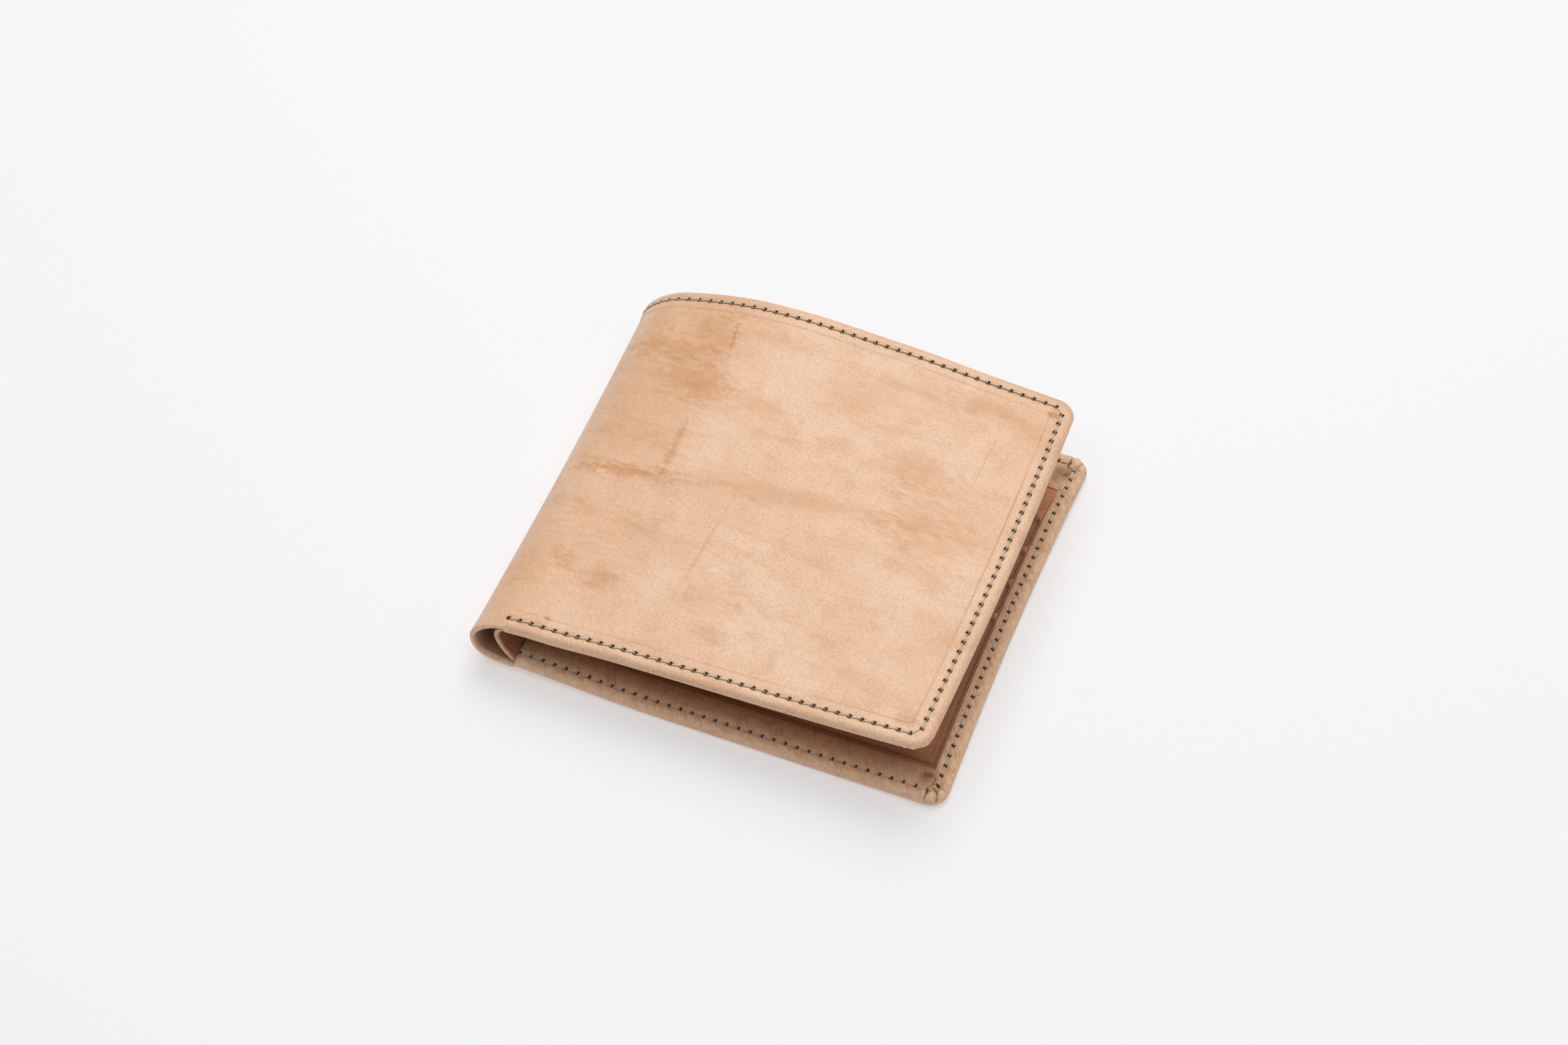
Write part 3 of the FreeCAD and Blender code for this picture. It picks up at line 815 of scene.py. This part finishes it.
def dividerSkin(w, v):
    w, v = np.broadcast_arrays(np.asarray(w, float), np.asarray(v, float))
    length = innerFold["length"]
    u = np.where(w >= 0, w + innerFold["start"], w + length - wallet["fold"])
    halves = wrap(u, v, innerFold["depth"])
    first = wrap(innerFold["start"], v, innerFold["depth"])
    last = wrap(-wallet["fold"], v, innerFold["depth"])
    low, high = innerFold["handleLow"], innerFold["handleHigh"]
    t = np.clip(-w / length, 0, 1)
    fold = bezier(first, first + (low[0], 0, low[1]), last + (high, 0, 0.1), last, t)
    return np.where(((w < 0) & (w > -length))[..., None], fold, halves)


def wrapDivider(w, v, depth):
    w, v, depth = np.broadcast_arrays(*(np.asarray(k, float) for k in (w, v, depth)))
    return dividerSkin(w, v) + inwardOf(dividerSkin, w, v) * depth[..., None]


divider = {"top": 84.85, "bottom": 3.4, "thick": 0.5, "foldThick": 1.05}
lining = {"near": 1.2, "far": 1.42, "margin": 3.6}


def evenSteps(count):
    return np.linspace(0, 1, count)


def buildDivider():
    wHigh = wallet["back"] - innerFold["start"] - 3.5
    wLow = -innerFold["length"] - wallet["front"] + 3.5

    def outline(s, t):
        w = wLow + s * (wHigh - wLow)
        inFold = smooth((w + innerFold["length"] + 0.6) / 0.8) * smooth((-w - 0.3) / 0.8)
        low = divider["bottom"] + (0.35 - divider["bottom"]) * inFold
        return w, low + t * (divider["top"] - low)

    def high(w, v):
        inFold = smooth((w + innerFold["length"]) / 3) * smooth(-w / 3)
        extra = (divider["foldThick"] - divider["thick"]) * inFold
        return divider["thick"] + extra + 0.05 * ripple(w, v, 21, 17)

    foldSteps = (np.linspace(-innerFold["length"] - 1.5, 1.0, 60) - wLow) / (wHigh - wLow)
    s = np.unique(np.concatenate([evenSteps(90), foldSteps]))
    t = np.concatenate([[0, 0.004, 0.009], np.linspace(0.02, 0.97, 40), [0.978, 0.985, 0.992, 1]])

    def paintedFoldShade(w, v):
        # painted shade on the strip across the fold, but not on its cut edge
        inFold = smooth((w + innerFold["length"] + 2) / 3) * smooth((2.5 - w) / 3)
        return 0.62 * inFold * smooth((v - 0.5) / 0.6)

    shape = slab(outline, s, t, lambda w, v: 0 * w, high, 0.12, paintedFoldShade)
    cuts = [-innerFold["length"] * f for f in foldCuts]
    spans = foldSpans(wrapDivider, [0.0] + cuts + [-innerFold["length"]], (0.0, 1.1))
    foldedPieces("banknote_divider", *shape, wrapDivider, cuts, innerLeather, "inner_leather",
                 partNodes("banknote_divider"), spans)


def buildLining():
    uHighEnd, uLowEnd = uHigh - lining["margin"], uLow + lining["margin"]

    def outline(s, t):
        u = uLowEnd + s * (uHighEnd - uLowEnd)
        inFold = smooth((u + wallet["fold"] + 1.2) / 1.5) * smooth((-u + 0.8) / 1.5)
        low = lining["margin"] + (1.0 - lining["margin"]) * inFold
        return u, low + t * (wallet["height"] - lining["margin"] - low)

    shape = slab(outline, evenSteps(150), evenSteps(50), lambda u, v: lining["near"] + 0 * u,
                 lambda u, v: lining["far"] + 0.02 * ripple(u, v, 31, 9), 0.08)
    parts = foldedPieces("lining", *shape, wrap, cutPlaces, liningCloth, "lining", partNodes("lining"),
                         outerSpans)
    # for the two large parts, a line of points along the middle of the lining, between its free end and the
    # fold cut beside it
    for part, strip, start, end in ((0, 1, uHighEnd, cutPlaces[0]), (3, 2, cutPlaces[2], uLowEnd)):
        line = wrap(np.linspace(start, end, 300), wallet["height"] / 2, (lining["near"] + lining["far"]) / 2)


buildDivider()
buildLining()
print("divider and lining made")

pockets = {
    "tops": (76.4, 67.0, 57.6, 48.3), "tall": 48.0, "floor": 8.35, "ear": 9.0, "earInset": 4.0,
    "spineSide": 3.0, "edgeSide": 4.45, "base": 2.42, "thick": 0.5, "step": 0.56, "round": 1.4,
    "backing": (2.1, 2.36), "backingTop": 82.0,
}


def halfWrap(half):
    # a is the distance from the spine line on either half
    if half == "back":
        return wrap, wallet[half]
    return (lambda a, v, depth: wrap(-wallet["fold"] - a, v, depth)), wallet[half]


def pocketSides(k, v, length):
    inset = np.zeros_like(v)
    if k < 3:
        inset = pockets["earInset"] * smooth((pockets["tops"][k] - pockets["ear"] - v) / 1.6 + 0.5)
    return pockets["spineSide"] + inset, length - pockets["edgeSide"] - inset


def pocketSpan(k):
    top = pockets["tops"][k]
    return max(pockets["floor"], top - pockets["tall"]), top


def pocketBase(k, a, v, length):
    # depth of the underside of pocket k, resting on the pockets behind it
    depth = np.full_like(a, pockets["base"])
    for j in range(k):
        low, top = pocketSpan(j)
        left, right = pocketSides(j, v, length)
        there = smooth((v - low + 1.2) / 2.4) * smooth((top + 0.35 - v) / 0.7)
        there = there * smooth((a - left + 0.8) / 1.6) * smooth((right + 0.8 - a) / 1.6)
        depth = depth + pockets["step"] * there
    across = np.sin(math.pi * np.clip((a - 3) / (length - 8), 0, 1))
    up = np.sin(math.pi * np.clip((v - 8) / 72, 0, 1)) ** 0.7
    left, right = pocketSides(k, v, length)
    rim = bell(np.minimum(np.minimum(right - a, a - left), v - pockets["floor"]), 0, 1.7)
    depth = depth + (0.10 + 0.12 * k) * across * up + 0.05 * ripple(a, v, 40, 22) * across
    return depth - 0.5 * rim


def buildPocket(half, k):
    surface, length = halfWrap(half)
    low, top = pocketSpan(k)

    def outline(s, t):
        v = low + t * (top - low)
        left, right = pocketSides(k, v, length)
        a = left + s * (right - left)
        fromSide = np.minimum(a - left, right - a)
        turn = pockets["round"]
        drop = turn - np.sqrt(np.maximum(turn**2 - np.maximum(turn - fromSide, 0)**2, 0))
        return a, v - drop * smooth((v - top + 9) / 9)

    def under(a, v):
        gape = 0.16 * bell(v, top, 4.0) * np.sin(math.pi * np.clip(a / length, 0, 1))
        return pocketBase(k, a, v, length) + gape

    def over(a, v):
        crease = 0.10 * bell(v, top - 1.35, 0.32)
        return under(a, v) + pockets["thick"] - crease + 0.03 * ripple(a, v, 50 + k, 7)

    def darkening(a, v):
        # painted shade where a pocket meets the hem, along the crease under its top edge and towards the
        # fold, and a dark line on the top edge itself
        edge = np.minimum(length - pockets["edgeSide"] - a, v - pockets["floor"])
        down = top - v
        lines = 0.35 * bell(edge, 1.5, 0.3) + 0.45 * bell(down, 1.35, 0.3) + 0.4 * bell(down, 0, 0.4)
        paintedFoldShade = 0.3 * smooth((48 - a) / 40)       # darker towards the fold
        return np.clip(0.65 * bell(edge, 0, 0.7) + lines + 0.2 * bell(edge, 0, 3.5) + paintedFoldShade, 0, 1)

    s = np.unique(np.concatenate([evenSteps(60), (0.004, 0.009, 0.014, 0.022, 0.978, 0.986, 0.991, 0.996)]))
    fine = 1 - np.array([2.4, 2.0, 1.75, 1.5, 1.35, 1.2, 1.0, 0.75, 0.5, 0.25]) / (top - low)
    t = np.unique(np.concatenate([(0.008, 0.016, 0.028), np.linspace(0, 0.94, 34), fine, [1]]))
    name = "card_slot_%d_%s" % (k + 1, half)
    plainPiece(name + "_leather", slab(outline, s, t, under, over, 0.12, darkening), surface, innerLeather,
               half + "_half", name)


def buildBacking(half):
    surface, length = halfWrap(half)
    near, far = pockets["backing"]

    def outline(s, t):
        a = pockets["spineSide"] + s * (length - pockets["edgeSide"] - pockets["spineSide"])
        return a, pockets["floor"] + t * (pockets["backingTop"] - pockets["floor"])

    shape = slab(outline, evenSteps(40), evenSteps(36), lambda a, v: near + 0 * a,
                 lambda a, v: far + 0 * a, 0.06)
    plainPiece("card_backing_%s_leather" % half, shape, surface, innerLeather, half + "_half",
               "card_backing_" + half)


for half in ("back", "front"):
    buildBacking(half)
    for k in range(4):
        buildPocket(half, k)
print("card pockets made")

# one short tube of thread for each stitch, on both faces
thread = {"radius": 0.175, "round": 8, "slant": 0.13, "dive": 1.15}
alongStitch = np.array([0.07, 0.09, 0.11, 0.14, 0.19, 0.3, 0.5, 0.7, 0.81, 0.86, 0.89, 0.91, 0.93])


def stitchTube(a, b, depthA, depthB, into, lean):
    # from hole a to hole b; into is +1 where the thread dives deeper in, -1 on the inner face
    t = alongStitch
    a, b = np.array(a), np.array(b)
    run = b - a
    aside = np.array([-run[1], run[0]]) / np.hypot(*run)
    flat = a + run * t[:, None] + aside * (lean * thread["slant"] * (2 * t - 1))[:, None]
    depth = depthA + (depthB - depthA) * t + into * thread["dive"] * smooth((np.abs(2 * t - 1) - 0.6) / 0.4)
    line = np.column_stack([flat, depth])
    tangent = np.gradient(line, axis=0)
    tangent /= np.linalg.norm(tangent, axis=1, keepdims=True)
    across = np.tile(np.append(aside, 0.0), (len(t), 1))
    lift = np.cross(tangent, across)
    turn = np.linspace(0, 2 * math.pi, thread["round"], endpoint=False)
    plies = 1 + 0.1 * np.cos(2 * (turn - 4.5 * t[:, None]))
    ring = thread["radius"] * plies[..., None] * (np.cos(turn)[None, :, None] * across[:, None]
                                                  + np.sin(turn)[None, :, None] * lift[:, None])
    points = (line[:, None] + ring).reshape(-1, 3)
    count = thread["round"]
    cell = np.arange((len(t) - 1) * count).reshape(-1, count)
    after = np.roll(cell, -1, 1)
    faces = np.stack([cell, after, after + count, cell + count], -1).reshape(-1, 4)
    ends = [list(range(count))[::-1], list(range((len(t) - 1) * count, len(t) * count))]
    place = np.column_stack([np.repeat(t * np.hypot(*run), count), np.tile(turn * 0.2, len(t)),
                             np.full(len(points), a[0] * 0.1)])
    return points, faces.tolist() + ends, place


def threadPiece(name, stitches, surface, nodes):
    points, faces, places, start = [], [], [], 0
    for stitch in stitches:
        some, quads, place = stitchTube(*stitch)
        points.append(some)
        places.append(place)
        faces += [[k + start for k in face] for face in quads]
        start += len(some)
    points = np.vstack(points)
    space = surface(points[:, 0], points[:, 1], points[:, 2])
    faces, _ = facingOut(space, faces)
    piece = meshPiece(name, space, faces, linenThread, np.vstack(places))
    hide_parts(*nodes)
    return piece


def buildEdgeSeams():
    line = ring(*[seam["inset"]] * 4, float(ringRadius(seam["inset"])))
    outside = outerDepth(seam["inset"], np.zeros((around, 2))) - 0.17
    inside = thick - seam["dip"] + 0.18
    picks = np.flatnonzero(holes)
    groups = [[], [], [], []]
    for a, b in zip(picks, np.roll(picks, -1)):
        if np.hypot(*(line[b] - line[a])) > 3.2:
            continue
        share = -(line[a, 0] + line[b, 0]) / 2 / wallet["fold"]
        part = int(np.searchsorted(foldCuts, share))
        lean = 1 if part < 2 else -1
        groups[part].append((line[a], line[b], outside[a], outside[b], 1, lean))
        groups[part].append((line[a], line[b], inside[a], inside[b], -1, lean))
    # the seam is sewn over twice where it starts on the lower half, and the thread's end goes to the edge
    first = picks[(sideOf[picks] == 0) & (line[picks, 0] > 0)][:4]
    for a, b in zip(first[:-1], first[1:]):
        depth = inside[a] + 0.12
        groups[0].append((line[a] + (0.5, 0.42), line[b] + (-0.2, 0.3), depth, depth, -1, 1))
    knot, level = line[first[1]], inside[0]
    groups[0].append((knot + (0.3, 0.5), knot + (0.75, -1.3), level + 0.2, level + 0.05, -1, 1))
    groups[0].append((knot + (0.7, 1.9), knot + (0.1, 0.2), level + 0.1, level + 0.2, -1, 1))
    for part, (label, nodes) in enumerate(partNodes("seam_thread", "edge_seam_thread")):
        piece = threadPiece("edge_seam_" + label, groups[part], wrap, nodes)
        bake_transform(piece)
    print("edge stitches:", sum(len(g) for g in groups))


def buildPocketSeam(half):
    surface, length = halfWrap(half)
    a = np.full(28, pockets["spineSide"] + 1.4)
    v = np.linspace(9.8, 74.5, 28)
    depth = np.array([pocketBase(4, np.array([p]), np.array([q]), length)[0] for p, q in zip(a, v)]) - 0.06
    stitches = [((a[k], v[k]), (a[k + 1], v[k + 1]), depth[k], depth[k + 1], -1, 1) for k in range(27)]
    piece = threadPiece("pocket_seam_" + half, stitches, surface, ["slot_seam_thread_" + half])
    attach(piece, half + "_half")


buildEdgeSeams()
for half in ("back", "front"):
    buildPocketSeam(half)
print("seams made")

view = {"lens": 76.53, "film": 36, "place": (153.9, -393.57, 567.3), "down": 52.654, "turn": 21.479}
camera = bpy.data.cameras.new("camera")
camera.lens, camera.sensor_width = view["lens"], view["film"]
camera.clip_start, camera.clip_end = 0.01, 20
eye = placed("camera", camera)
eye.location = Vector(view["place"]) * mm
eye.rotation_euler = (math.radians(90 - view["down"]), 0, math.radians(view["turn"]))
bpy.context.scene.camera = eye

# soft round lights aimed at the wallet: place in metres, size, power and colour
lights = {
    "key": ((-0.12, 0.5, 0.8), 0.8, 3.3, (1, 0.985, 0.955)),
    "fill": ((0.9, -0.1, 0.7), 0.8, 0.7, (1, 1, 1)),
    "top": ((0.0, 0.0, 1.1), 1.4, 8.6, (1, 1, 1)),
}
for name, (place, size, power, colour) in lights.items():
    lamp = bpy.data.lights.new(name, "AREA")
    lamp.shape, lamp.size, lamp.energy, lamp.color = "DISK", size, power, colour
    holder = placed(name, lamp)
    holder.location = place
    if any(place[:2]):      # a new lamp points straight down already
        holder.rotation_euler = (-Vector(place)).to_track_quat("-Z", "Y").to_euler()

paper = {
    "Base Color": (0.56, 0.56, 0.565, 1), "Roughness": 0.9, "Specular IOR Level": 0.1,
    "Emission Color": (0.985, 0.99, 1, 1), "Emission Strength": 0.375,
}
floorMaterial, _, floorSurface = shader("pale paper")
feed(floorSurface, paper)
floorMesh = bpy.data.meshes.new("floor")
floorMesh.from_pydata([(-3, -3, 0), (3, -3, 0), (3, 3, 0), (-3, 3, 0)], [], [(0, 1, 2, 3)])
floorMesh.materials.append(floorMaterial)
placed("floor", floorMesh)

world = bpy.data.worlds.new("studio")
bpy.context.scene.world = world
world.use_nodes = True
feed(world.node_tree.nodes["Background"], {"Color": (0.93, 0.94, 0.96, 1), "Strength": 0.2})
bpy.context.scene.view_settings.view_transform = "Standard"
